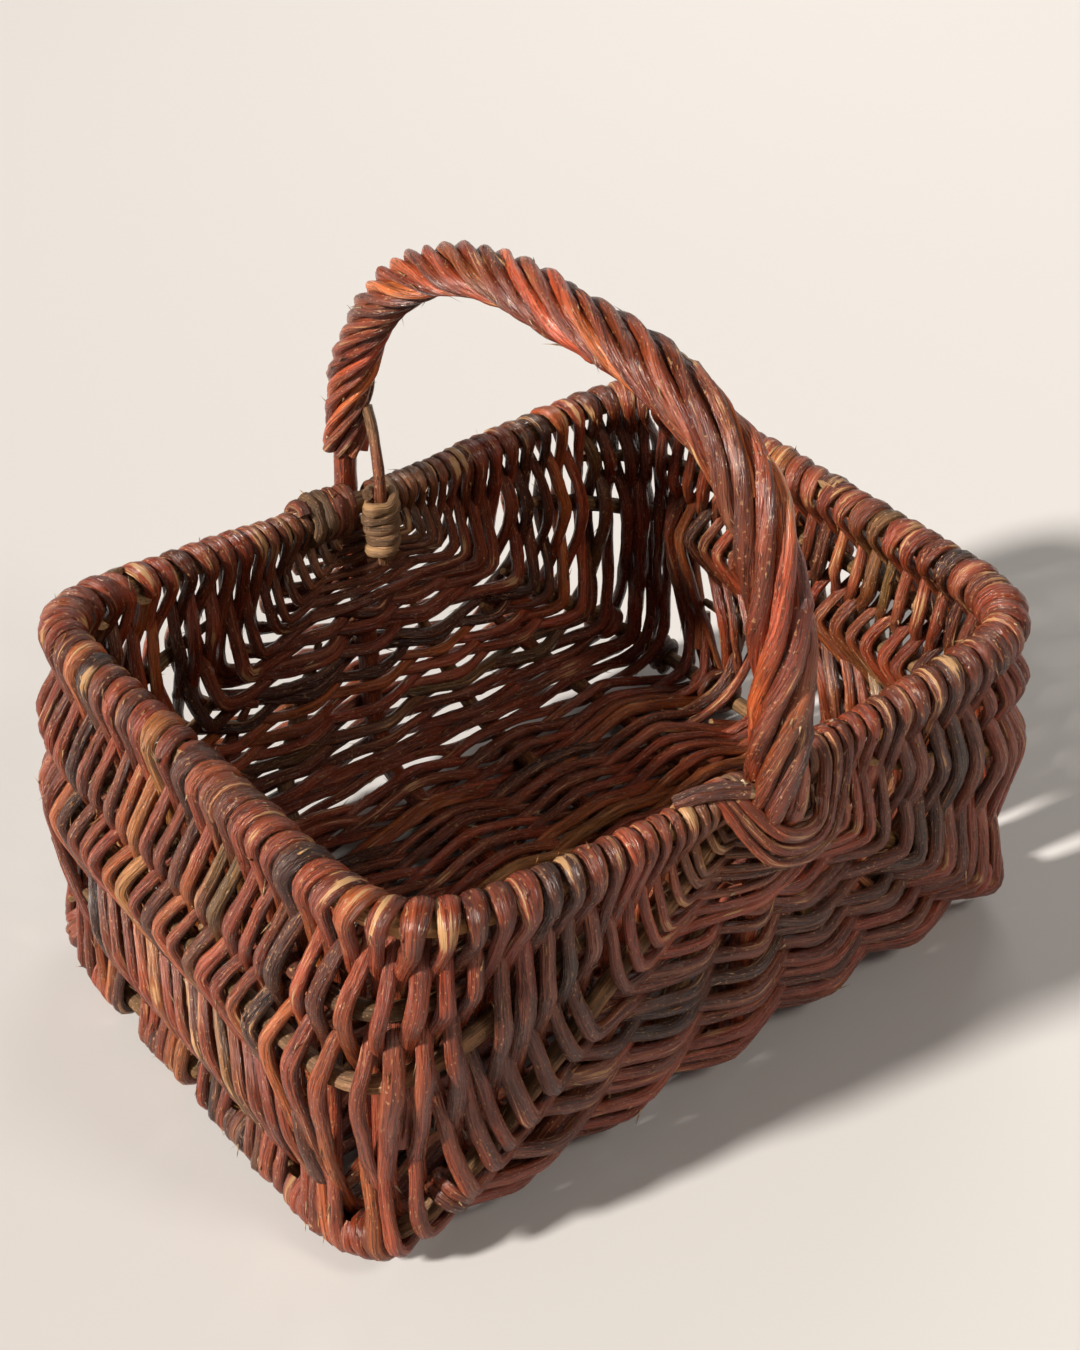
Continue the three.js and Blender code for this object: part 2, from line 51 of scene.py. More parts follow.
# Skeleton of the basket, the same curves as the CAD frame
RIM_HALF_LENGTH = 200
RIM_HALF_WIDTH = 158
RIM_SQUARENESS = 8.5
RIM_RADIUS = 6
RIM_FOOT_HEIGHT = 197
RIM_RISE = {"left_near": 14, "right_near": 4, "right_far": 9, "left_far": 12}
RIM_RISE_POWER = 3
HOOP_RADIUS = 6.5
HANDLE_TOP = 380
HANDLE_SQUARENESS = {"near": 3.4, "far": 2.2}
HOOP_LEAN_DEPTH = 80
HOOP_BASE_SQUARENESS = 9
HOOP_STEP_OUT = RIM_RADIUS + HOOP_RADIUS + 0.3
RIB_RADIUS = 5
RIB_TIP_RADIUS = 2.2
RIB_TAPER = 46
RIB_TIP_REACH = 8
UNDER_RIBS = 7.3
ABOVE_FLOOR = 0.05
TRACE_STEPS = 400
STEPS_PER_SPAN = 12

# How much thinner the bare rods are than the solids, so that they stay under what is wound round them
CORE_SLACK = 0.3
RIB_SLACK = 0.15

# Ribs: where each turns (along the basket, and its height there), its squareness, the distance along the
# rim where the weaving reaches its tip, and how far the weaving is dragged along it on the end walls
RIBS = [
    {"name": "upper", "x": 210, "z": 159.6, "square": 8, "from": 153, "drag": 2},
    {"name": "middle", "x": 215, "z": 116.2, "square": 8, "from": 90, "drag": 21},
    {"name": "lower", "x": 217, "z": 68, "square": 8, "from": 236, "drag": -14},
    {"name": "corner", "x": 212, "z": RIB_RADIUS + UNDER_RIBS + 1.4, "square": 9, "from": 0, "drag": -16},
    {"name": "outer_base", "x": 148, "z": RIB_RADIUS + UNDER_RIBS, "square": 9, "from": 111, "drag": 0},
    {"name": "inner_base", "x": 75, "z": RIB_RADIUS + UNDER_RIBS, "square": 9, "from": 69, "drag": 0},
]
DRAG_FADE = 70

# Along the bottom edge of the end walls the rods pass in bunches, and between the bunches a rod is wound
# round the corner rib: places as shares of the rib's leg and of half its end, and half the width of a gap
EDGE_WRAPS_ON_LEG = (0.89,)
EDGE_WRAPS_ON_END = (0.15, 0.50, 0.85)
EDGE_WRAP_HALF_WIDTH = {"leg": 0.024, "end": 0.052}

# Weaving: fine rods by the handle, thicker and wider apart towards the ends
FIRST_ROW_AT = 18
ROW_PITCH = (3.2, 6.2)
ROD_WIDTH = (4.5, 8.5)
ROD_FLATNESS = 0.88
WIDEST_SPREAD = 1.15
SLIMMER_BETWEEN = 0.12
LONG_SPAN = (25, 55)
BEND_EASE = 0.62
SLIP = 1.3
FINE_UNTIL = 120
ROD_LENGTH = (1250, 2300)
RIM_FLATNESS = 0.42
WRAP_STEPS = 8
TUCKED_STEPS = 3
TUCK_STEP = 2.5
SHARP_TURN = math.radians(38)
WRAP_LEAN = math.radians(24)
WRAP_SUNK = 0.2
FLATTENING = 0.5

# Rods of the weaving: the step along them, how far they overlap at a joint, their size at the thick and the
# thin end, how unequal they are, how far they sway across and outwards, and how dry they are by the handle
WEAVERS_PER_HALF = 15
WEAVE_STEP = 4.0
JOINT_OVERLAP = 14
BUTT_AND_TIP = (1.1, 0.86)
ROD_SIZES = (0.84, 1.14)
SWAY = (1.1, 0.5)
DRY_UNTIL = 66
DRY_FADE = 40
DRYNESS = 0.6

# Linear colours of bark and bare wood; the last one is painted sheen, a pale highlight painted onto the
# high ridges of the bark
PALETTE = {
    "red": (0.275, 0.042, 0.014),
    "brown": (0.155, 0.031, 0.010),
    "mauve": (0.250, 0.049, 0.018),
    "orange": (0.370, 0.088, 0.017),
    "ochre": (0.430, 0.170, 0.042),
    "dark": (0.064, 0.018, 0.009),
    "olive": (0.150, 0.076, 0.021),
    "grey": (0.230, 0.122, 0.058),
    "tan": (0.560, 0.320, 0.145),
    "pale": (0.740, 0.540, 0.310),
    "cream": (0.850, 0.690, 0.450),
    "painted_sheen": (0.420, 0.205, 0.115),
}


def v(x, y, z):
    return np.array([x, y, z], dtype=float)


def unit(vector):
    return vector / max(np.linalg.norm(vector), 1e-12)


def unit_rows(vectors):
    return vectors / (np.linalg.norm(vectors, axis=1)[:, None] + 1e-9)


def signed_power(value, power):
    return np.sign(value) * np.abs(value) ** power


def smooth(share):
    share = np.clip(share, 0, 1)
    return share * share * (3 - 2 * share)


def mix(a, b, share):
    return a + (b - a) * share


def distances_along(points):
    """How far along the way each point is from the first one."""
    return np.concatenate([[0], np.cumsum(np.linalg.norm(np.diff(points, axis=0), axis=1))])


class Line:
    """A curve as traced points, with places on it given by distance."""

    def __init__(self, point_at):
        self.points = np.array([point_at(i / TRACE_STEPS) for i in range(TRACE_STEPS + 1)])
        self.lengths = distances_along(self.points)
        self.length = self.lengths[-1]
        self.turn_at = self.lengths[TRACE_STEPS // 4]

    def point(self, distance):
        return np.array([np.interp(distance, self.lengths, self.points[:, k]) for k in range(3)])

    def tangent(self, distance, reach=3):
        return unit(self.point(distance + reach) - self.point(distance - reach))


def rim_point(side, share):
    angle = share * math.pi
    x = side * RIM_HALF_LENGTH * signed_power(math.sin(angle), 2 / RIM_SQUARENESS)
    y = -RIM_HALF_WIDTH * signed_power(math.cos(angle), 2 / RIM_SQUARENESS)
    ends = ("left_near", "left_far") if side < 0 else ("right_near", "right_far")
    rise = mix(RIM_RISE[ends[0]], RIM_RISE[ends[1]], (y / RIM_HALF_WIDTH + 1) / 2)
    return v(x, y, RIM_FOOT_HEIGHT + rise * abs(x / RIM_HALF_LENGTH) ** RIM_RISE_POWER)


def rib_point(rib, side, share):
    angle = share * math.pi
    reach = signed_power(math.sin(angle), 2 / rib["square"])
    y = -RIM_HALF_WIDTH * signed_power(math.cos(angle), 2 / rib["square"])
    return v(side * rib["x"] * reach, y, mix(RIM_FOOT_HEIGHT, rib["z"], reach))


def hoop_base_point(share):
    angle = share * math.pi
    depth = RIM_FOOT_HEIGHT - HOOP_RADIUS - UNDER_RIBS
    drop = depth * signed_power(math.sin(angle), 2 / HOOP_BASE_SQUARENESS)
    step_out = HOOP_STEP_OUT * smooth(1 - drop / HOOP_LEAN_DEPTH)
    y = -(RIM_HALF_WIDTH + step_out) * signed_power(math.cos(angle), 2 / HOOP_BASE_SQUARENESS)
    return v(0, y, RIM_FOOT_HEIGHT - drop)


def hoop_arch_point(share):
    angle = share * math.pi
    squareness = HANDLE_SQUARENESS["near" if share < 0.5 else "far"]
    y = -(RIM_HALF_WIDTH + HOOP_STEP_OUT) * signed_power(math.cos(angle), 2 / squareness)
    rise = (HANDLE_TOP - RIM_FOOT_HEIGHT) * signed_power(math.sin(angle), 2 / squareness)
    return v(0, y, RIM_FOOT_HEIGHT + rise)


rim_lines = {side: Line(lambda share, side=side: rim_point(side, share)) for side in (-1, 1)}
hoop_base = Line(hoop_base_point)
hoop_arch = Line(hoop_arch_point)
for rib in RIBS:
    for side in (-1, 1):
        rib[side] = Line(lambda share, rib=rib, side=side: rib_point(rib, side, share))
rim_turn = rim_lines[1].turn_at
rim_half = rim_lines[1].length / 2
middle_of_basket = v(0, 0, RIM_FOOT_HEIGHT / 2)

# The CAD frame is the same, moved so that its origin is under the middle of its box.
hoop_low, hoop_high = [np.array(corner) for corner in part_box("handle_hoop")]
cad_shift = v(*((hoop_low + hoop_high) / 2)[:2] / MM, 0)


def bunched(share, centres, half_width):
    """Moves evenly spaced places apart, so that a gap is left round each centre."""
    room = 1 - 2 * half_width * len(centres)
    position, used = 0.0, 0.0
    for centre in centres:
        free = centre - half_width - position
        if share * room < used + free:
            return position + share * room - used
        used += free
        position = centre + half_width
    return position + share * room - used


def line_distance(line, half, rim_distance, in_bunches=False):
    """The place on a line that belongs to a place on the rim: all rows turn at the same row."""
    if rim_distance < rim_turn:
        share = rim_distance / rim_turn
        if in_bunches:
            share = bunched(share, EDGE_WRAPS_ON_LEG, EDGE_WRAP_HALF_WIDTH["leg"])
        distance = share * line.turn_at
    else:
        share = (rim_distance - rim_turn) / (rim_half - rim_turn)
        if in_bunches:
            share = bunched(share, EDGE_WRAPS_ON_END, EDGE_WRAP_HALF_WIDTH["end"])
        distance = mix(line.turn_at, line.length / 2, share)
    return distance if half == "near" else line.length - distance


def outwards(normal, point):
    return normal if np.dot(normal, point - middle_of_basket) > 0 else -normal


def rim_outwards(line, distance):
    """The level way out of the basket, from a place on the rim."""
    tangent = line.tangent(distance)
    return outwards(unit(v(tangent[1], -tangent[0], 0)), line.point(distance))


def rib_radius(rib, side, distance):
    if rib is None:
        return HOOP_RADIUS
    line = rib[side]
    start = line_distance(line, "near", rib["from"])
    from_end = min(distance, line.length - distance) - start
    return mix(RIB_TIP_RADIUS, RIB_RADIUS, np.clip(from_end / RIB_TAPER, 0, 1))


def spread_at(line, rim_distance):
    """How far apart the rows lie on a line, as a share of their pitch on the rim."""
    if rim_distance < rim_turn:
        return line.turn_at / rim_turn
    return (line.length / 2 - line.turn_at) / (rim_half - rim_turn)


def row_places(half, rim_distance):
    """The rods that a row crosses from the left rim to the right rim, and where."""
    lines = [(None, -1, rim_lines[-1])]
    lines += [(rib, -1, rib[-1]) for rib in RIBS if rim_distance >= rib["from"]]
    lines += [(None, 0, hoop_base)]
    lines += [(rib, 1, rib[1]) for rib in reversed(RIBS) if rim_distance >= rib["from"]]
    lines += [(None, 1, rim_lines[1])]
    places = []
    for rib, side, line in lines:
        in_bunches = rib is not None and rib["name"] == "corner"
        distance = line_distance(line, half, rim_distance, in_bunches)
        if rib:
            distance += rib["drag"] * smooth((rim_distance - rim_turn) / DRAG_FADE)
        places.append({
            "point": line.point(distance),
            "tangent": line.tangent(distance),
            "radius": rib_radius(rib, side, distance) if side == 0 or rib else RIM_RADIUS,
            "spread": float(np.clip(spread_at(line, rim_distance), 1, WIDEST_SPREAD)),
        })
    return places


def rod_width(rim_distance):
    return mix(*ROD_WIDTH, smooth((rim_distance - FIRST_ROW_AT) / (FINE_UNTIL - FIRST_ROW_AT)))


def row_distances():
    """Rows from the junction to the middle of the basket, where the last ones of both halves meet."""
    distances = [FIRST_ROW_AT]
    while distances[-1] < rim_half:
        share = smooth((distances[-1] - FIRST_ROW_AT) / (FINE_UNTIL - FIRST_ROW_AT))
        distances.append(distances[-1] + mix(*ROW_PITCH, share))
    stretch = (rim_half - ROW_PITCH[1] / 2 - FIRST_ROW_AT) / (distances[-2] - FIRST_ROW_AT)
    return [FIRST_ROW_AT + (distance - FIRST_ROW_AT) * stretch for distance in distances[:-1]]


def row_stations(half, rim_distance, outside):
    """Where one row passes each rib, from left to right: (point, up, flatness, rim distance, spread)."""
    places = row_places(half, rim_distance)
    seat_radius = rod_width(rim_distance) / 2 * ROD_FLATNESS
    stations = []
    for i in range(1, len(places) - 1):
        place = places[i]
        side = outside * (1 if i % 2 == 0 else -1)
        before = place["point"] - places[i - 1]["point"]
        after = places[i + 1]["point"] - place["point"]
        crosses = [unit(np.cross(place["tangent"], way)) for way in (before, after)]
        normals = [outwards(cross, place["point"]) for cross in crosses]
        normal = unit(normals[0] + normals[1])
        turn = math.acos(np.clip(np.dot(*normals), -1, 1))
        seat = place["radius"] + seat_radius
        around = [normal]
        if side > 0 and turn > SHARP_TURN:
            around = [normals[0], normal, normals[1]]
        slip = rng.normal(0, SLIP) * place["tangent"]
        for way in around:
            point = place["point"] + slip + way * side * seat
            stations.append((point, way * outside, 0.0, rim_distance, place["spread"]))
    return stations


def wrap_stations(half, side, rim_distances, from_outside):
    """Over the rim, from one row to the next."""
    line = rim_lines[side]
    stations = []
    for k in range(WRAP_STEPS + 1):
        share = k / WRAP_STEPS
        turn = mix(-WRAP_LEAN, math.pi + WRAP_LEAN, share)
        rim_distance = mix(rim_distances[0], rim_distances[1], smooth(share))
        distance = rim_distance if half == "near" else line.length - rim_distance
        angle = turn if from_outside else math.pi - turn
        radial = rim_outwards(line, distance) * math.cos(angle) + v(0, 0, 1) * math.sin(angle)
        flat = RIM_FLATNESS * math.sin(np.clip(turn, 0, math.pi)) ** 0.5
        thickness = rod_width(rim_distance) * ROD_FLATNESS * (1 - flat * FLATTENING)
        seat = RIM_RADIUS + thickness / 2 - WRAP_SUNK
        stations.append((line.point(distance) + radial * seat, radial, flat, rim_distance, 1.0))
    return stations


def weaving_chain(half):
    """All rows of one half as one long way, to and fro between the rims."""
    distances = row_distances()
    first_outside = 1 if half == "near" else -1
    tuck = (distances[0] - TUCK_STEP, distances[0])
    chain = wrap_stations(half, -first_outside, tuck, first_outside < 0)[TUCKED_STEPS:]
    for row, rim_distance in enumerate(distances):
        outside = first_outside * (1 if row % 2 == 0 else -1)
        stations = row_stations(half, rim_distance, outside)
        chain += stations if outside > 0 else stations[::-1]
        following = distances[row + 1] if row + 1 < len(distances) else rim_distance + TUCK_STEP
        chain += wrap_stations(half, outside, (rim_distance, following), outside > 0)
    return chain[:-TUCKED_STEPS]


def bent_curve(points, values, step, ease=1.0):
    """A smooth curve through points, resampled at an even step, with the values carried along."""
    points = np.asarray(points)
    values = np.asarray(values)
    steps = np.linalg.norm(np.diff(points, axis=0), axis=1)
    knots = np.concatenate([[0], np.cumsum(np.sqrt(steps) + 1e-6)])
    gaps = np.diff(knots)[:, None]
    slopes = np.diff(points, axis=0) / gaps
    bends = np.empty_like(points)
    bends[1:-1] = (slopes[:-1] * gaps[1:] + slopes[1:] * gaps[:-1]) / (gaps[:-1] + gaps[1:])
    bends[0], bends[-1] = slopes[0], slopes[-1]
    bends *= ease
    spans = [np.linspace(a, b, STEPS_PER_SPAN, endpoint=False) for a, b in zip(knots[:-1], knots[1:])]
    fine = np.concatenate([*spans, knots[-1:]])
    cell = np.clip(np.searchsorted(knots, fine, side="right") - 1, 0, len(knots) - 2)
    width = (knots[cell + 1] - knots[cell])[:, None]
    t = (fine[:, None] - knots[cell][:, None]) / width
    curve = (
        (2 * t**3 - 3 * t**2 + 1) * points[cell]
        + (t**3 - 2 * t**2 + t) * width * bends[cell]
        + (3 * t**2 - 2 * t**3) * points[cell + 1]
        + (t**3 - t**2) * width * bends[cell + 1]
    )
    lengths = distances_along(curve)
    count = max(int(lengths[-1] / step), 2)
    places = np.linspace(0, lengths[-1], count + 1)
    resampled = np.stack([np.interp(places, lengths, curve[:, k]) for k in range(3)], axis=1)
    at_knots = np.interp(places, lengths, fine)
    carried = np.stack([np.interp(at_knots, knots, values[:, k]) for k in range(values.shape[1])], axis=1)
    return resampled, carried, places


def wander(places, amount, wavelengths=(38, 71, 133)):
    """A slow random wave along a rod."""
    total = np.zeros(len(places))
    for wavelength in wavelengths:
        total += np.sin(places / wavelength * 2 * math.pi + rng.uniform(0, 2 * math.pi))
    return amount * total / len(wavelengths)


# Section of a rod: its lobes (how many, how deep, how far they turn), and lumps along it
LOBES = ((2, 0.035, 3), (3, 0.03, 4))
LUMPINESS = 0.035
GRAIN_STRETCH = 22
CUT_CROWN = 0.25

# Knots swell the rod all round, and more on one side
FIRST_KNOT = (20, 60)
KNOT_SPACING = (45, 120)
KNOT_REACH = 3.2
KNOT_SWELL = (0.07, 0.22)

FRAY_SPACING = 26
FRAY_LENGTH = (2.5, 11)
FRAY_WIDTH = (0.4, 1.0)
FRAY_LIFT = (0.12, 0.5)
FRAY_SEAT = 0.44


class RodMesh:
    """Collects rods and makes one object of them."""

    def __init__(self):
        self.vertices, self.faces, self.tints, self.grains, self.wears = [], [], [], [], []
        self.count = 0

    def add(self, path, up, width, thickness, colours, wear, sides=10, cut=PALETTE["tan"], knots=True):
        """One rod: its path, the way that its flat side looks, its size and its colours, by place."""
        count = len(path)
        tangents = np.gradient(path, axis=0)
        tangents /= np.linalg.norm(tangents, axis=1)[:, None]
        up = unit_rows(up - tangents * np.sum(up * tangents, axis=1)[:, None])
        across = np.cross(tangents, up)
        places = distances_along(path)
        angles = np.arange(sides) / sides * 2 * math.pi
        swell = np.ones((count, sides))
        for lobes, depth, drift in LOBES:
            swell += depth * np.sin(lobes * angles[None, :] + wander(places, drift)[:, None])
        swell *= 1 + wander(places, LUMPINESS, (9, 17, 29))[:, None]
        if knots:
            at = rng.uniform(*FIRST_KNOT)
            while at < places[-1]:
                near = np.exp(-(((places - at) / KNOT_REACH) ** 2))[:, None]
                facing = np.clip(np.cos(angles - rng.uniform(0, 2 * math.pi)), 0, 1)[None, :] ** 3
                swell += near * (KNOT_SWELL[0] + KNOT_SWELL[1] * facing)
                at += rng.uniform(*KNOT_SPACING)
        ring = (
            np.cos(angles)[None, :, None] * across[:, None, :] * (width[:, None, None] / 2)
            + np.sin(angles)[None, :, None] * up[:, None, :] * (thickness[:, None, None] / 2)
        )
        points = path[:, None, :] + ring * swell[:, :, None]
        radius = width.mean() / 2
        seed = rng.uniform(0, 900, 3)
        grain = np.empty((count, sides, 3))
        grain[:, :, 0] = np.cos(angles)[None, :] * radius
        grain[:, :, 1] = np.sin(angles)[None, :] * radius
        grain[:, :, 2] = places[:, None] / GRAIN_STRETCH
        base = self.count
        self.vertices.append(points.reshape(-1, 3))
        self.grains.append(grain.reshape(-1, 3) + seed)
        self.tints.append(np.repeat(colours, sides, axis=0))
        self.wears.append(np.repeat(wear, sides))
        rows = np.arange(count - 1)[:, None] * sides + base
        k = np.arange(sides)[None, :]
        following = (k + 1) % sides
        quads = np.stack([rows + k, rows + sides + k, rows + sides + following, rows + following], axis=2)
        self.faces.append(quads.reshape(-1, 4))
        self.count += count * sides
        self.add_frays(path, tangents, across, up, thickness)
        for end, direction in ((0, -1), (count - 1, 1)):
            rim = points[end]
            middle = rim.mean(axis=0) + tangents[end] * direction * CUT_CROWN
            self.vertices.append(np.concatenate([rim, middle[None]]))
            self.grains.append(np.concatenate([grain[end], grain[end].mean(axis=0)[None]]) + seed)
            self.tints.append(np.repeat(np.array([cut]), sides + 1, axis=0))
            self.wears.append(np.zeros(sides + 1))
            ring_at = np.arange(sides) + self.count
            next_at = np.roll(ring_at, -1)
            centre = np.full(sides, self.count + sides)
            fan = [ring_at, next_at, centre] if direction > 0 else [next_at, ring_at, centre]
            self.faces.append(np.stack(fan, axis=1))
            self.count += sides + 1

    def add_frays(self, path, tangents, across, up, size):
        """Torn fibres that stand off the bark, each a closed three-sided spike."""
        length = np.sum(np.linalg.norm(np.diff(path, axis=0), axis=1))
        for _ in range(rng.poisson(length / FRAY_SPACING)):
            i = rng.integers(2, len(path) - 2)
            angle = rng.uniform(0, 2 * math.pi)
            radial = across[i] * math.cos(angle) + up[i] * math.sin(angle)
            foot = path[i] + radial * size[i] * FRAY_SEAT
            way = unit(tangents[i] * rng.choice((-1, 1)) + radial * rng.uniform(*FRAY_LIFT))
            side = unit(np.cross(way, radial))
            over = np.cross(side, way)
            width = rng.uniform(*FRAY_WIDTH)
            tip = foot + way * rng.uniform(*FRAY_LENGTH) + radial * rng.uniform(0, 0.8)
            corners = [foot + side * width, foot - side * width, foot + over * width * 0.7, tip]
            self.vertices.append(np.array(corners))
            self.grains.append(np.array(corners) + rng.uniform(0, 900))
            tone = PALETTE[rng.choice(("tan", "pale", "ochre"))]
            self.tints.append(np.repeat(np.array([tone]), 4, axis=0))
            self.wears.append(np.zeros(4))
            self.faces.append(np.array([[0, 2, 1], [0, 1, 3], [1, 2, 3], [2, 0, 3]]) + self.count)
            self.count += 4

    def build(self, name, material):
        vertices = np.concatenate(self.vertices) + cad_shift
        vertices[:, 2] = np.maximum(vertices[:, 2], ABOVE_FLOOR)
        vertices *= MM
        mesh = bpy.data.meshes.new(name)
        mesh.vertices.add(len(vertices))
        mesh.vertices.foreach_set("co", vertices.astype(np.float32).ravel())
        loops = np.concatenate([faces.ravel() for faces in self.faces]).astype(np.int32)
        sizes = [np.full(len(faces), faces.shape[1]) for faces in self.faces]
        sizes = np.concatenate(sizes).astype(np.int32)
        mesh.loops.add(len(loops))
        mesh.loops.foreach_set("vertex_index", loops)
        mesh.polygons.add(len(sizes))
        starts = np.concatenate([[0], np.cumsum(sizes)[:-1]]).astype(np.int32)
        mesh.polygons.foreach_set("loop_start", starts)
        mesh.polygons.foreach_set("use_smooth", np.ones(len(sizes), dtype=bool))
        mesh.update(calc_edges=True)
        colours = np.concatenate(self.tints)
        for layer, kind, key, values in (
            ("tint", "FLOAT_COLOR", "color", np.column_stack([colours, np.ones(len(colours))])),
            ("grain", "FLOAT_VECTOR", "vector", np.concatenate(self.grains)),
            ("wear", "FLOAT", "value", np.concatenate(self.wears)),
        ):
            made = mesh.attributes.new(layer, kind, "POINT")
            made.data.foreach_set(key, values.astype(np.float32).ravel())
        mesh.materials.append(material)
        piece = bpy.data.objects.new(name, mesh)
        bpy.context.scene.collection.objects.link(piece)
        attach(piece, "root")
        return piece


def node(tree, kind, inputs=(), **settings):
    made = tree.nodes.new(kind)
    for key, value in settings.items():
        setattr(made, key, value)
    for key, value in dict(inputs).items():
        if isinstance(value, bpy.types.NodeSocket):
            tree.links.new(value, made.inputs[key])
        else:
            made.inputs[key].default_value = value
    return made


def ramp(tree, value, low, high, to_low=0, to_high=1):
    """A value mapped from one range to another, and kept inside it."""
    inputs = {"Value": value, "From Min": low, "From Max": high, "To Min": to_low, "To Max": to_high}
    return node(tree, "ShaderNodeMapRange", inputs).outputs["Result"]


def maths(tree, operation, *values):
    return node(tree, "ShaderNodeMath", dict(enumerate(values)), operation=operation).outputs[0]


def noise(tree, vector, scale, detail, roughness=0.5, distortion=0):
    inputs = {"Vector": vector, "Scale": scale, "Detail": detail}
    inputs |= {"Roughness": roughness, "Distortion": distortion}
    return node(tree, "ShaderNodeTexNoise", inputs).outputs[0]


def blend(tree, factor, first, second):
    """One colour mixed into another; the Mix node has its colours at 6, 7 and output 2."""
    inputs = {0: factor, 6: first, 7: second}
    return node(tree, "ShaderNodeMix", inputs, data_type="RGBA").outputs[2]


def paint(name):
    return (*PALETTE[name], 1)


FURROW_DEPTH = 0.0007


def rod_material(name, roughness, worn="tan", wear_cut=0.98, bump=0.75, gloss=0.65):
    """Bark or bare wood: ridges and streaks along the rod, dark cracks, painted sheen on the highest
    ridges, pale specks and worn patches.
    """
    material = bpy.data.materials.new(name)
    material.use_nodes = True
    tree = material.node_tree
    shader = tree.nodes["Principled BSDF"]
    tint, grain, wear = [
        node(tree, "ShaderNodeAttribute", attribute_name=layer).outputs[output]
        for layer, output in (("tint", "Color"), ("grain", "Vector"), ("wear", "Fac"))
    ]

    ridge = ramp(tree, noise(tree, grain, 0.85, 6, 0.62), 0.32, 0.68)
    patch = ramp(tree, noise(tree, grain, 0.27, 3), 0.35, 0.65)
    strength = maths(tree, "ADD", ridge, patch)
    crack = noise(tree, grain, 0.6, 3, 0.55, 0.4)
    off_crack = maths(tree, "ABSOLUTE", maths(tree, "SUBTRACT", crack, 0.5))
    cracked = ramp(tree, off_crack, 0, 0.034, 0.30, 1)
    dark = maths(tree, "MULTIPLY", ramp(tree, strength, 0, 2, 0.30, 1.5), cracked)
    coloured = node(tree, "ShaderNodeVectorMath", {0: tint, "Scale": dark}, operation="SCALE").outputs[0]

    # Painted sheen: the highest ridges are blended towards a pale tone that stands in for a glossy
    # highlight
    sheen_mask = maths(tree, "MULTIPLY", ramp(tree, strength, 1.1, 1.9), 0.4)
    sheened_colour = blend(tree, sheen_mask, coloured, paint("painted_sheen"))
    stretched = {0: grain, 1: (1, 1, 14)}
    round_grain = node(tree, "ShaderNodeVectorMath", stretched, operation="MULTIPLY").outputs[0]
    specks = noise(tree, round_grain, 0.9, 1)
    speck = maths(tree, "MULTIPLY", ramp(tree, specks, 0.66, 0.70), 0.6)
    dotted = blend(tree, speck, sheened_colour, paint("tan"))
    rubbed = maths(tree, "ADD", wear, strength)
    bare = ramp(tree, rubbed, wear_cut + 0.80, wear_cut + 0.98)

    height = maths(tree, "ADD", ridge, cracked)
    furrows = node(tree, "ShaderNodeBump", {"Height": height, "Strength": bump, "Distance": FURROW_DEPTH})
    tree.links.new(blend(tree, bare, dotted, paint(worn)), shader.inputs["Base Color"])
    tree.links.new(ramp(tree, ridge, 0, 1, roughness[1], roughness[0]), shader.inputs["Roughness"])
    tree.links.new(furrows.outputs[0], shader.inputs["Normal"])
    shader.inputs["Specular IOR Level"].default_value = gloss
    return material


bark = rod_material("bark", (0.17, 0.36))
dry_bark = rod_material("dry_bark", (0.4, 0.7), worn="grey", wear_cut=0.6, gloss=0.4)
peeled = rod_material("peeled_willow", (0.5, 0.75), bump=0.5, gloss=0.35)
handle_bark = rod_material("handle_bark", (0.17, 0.34))


def rod_colours(places, names, spread=0.14):
    """Colours along one rod, drifting slowly between two near shades."""
    first, second = [np.array(PALETTE[name]) for name in names]
    drift = smooth(0.5 + wander(places, 0.9, (90, 210, 430)))[:, None]
    shade = np.exp(rng.normal(0, spread)) * (1 + wander(places, 0.12, (60, 140, 300)))[:, None]
    return mix(first, second, drift) * shade


BARK_PAIRS = [
    ("red", "brown"), ("red", "orange"), ("mauve", "red"), ("brown", "mauve"), ("orange", "ochre"),
    ("red", "mauve"), ("dark", "brown"), ("orange", "red"), ("brown", "olive"),
]
BARK_WEIGHTS = np.array([22, 12, 14, 13, 5, 14, 9, 7, 4]) / 100


def wear_along(way, places):
    """Bark is rubbed off where a rod bends, and here and there between."""
    bend = np.linalg.norm(np.gradient(unit_rows(np.gradient(way, axis=0)), axis=0), axis=1)
    at_bends = np.clip(bend * 1.5, 0, 0.6) * np.clip(0.3 + wander(places, 1.2, (31, 67, 150)), 0, 1)
    return at_bends + np.clip(wander(places, 0.45, (23, 47, 110)), 0, 1)


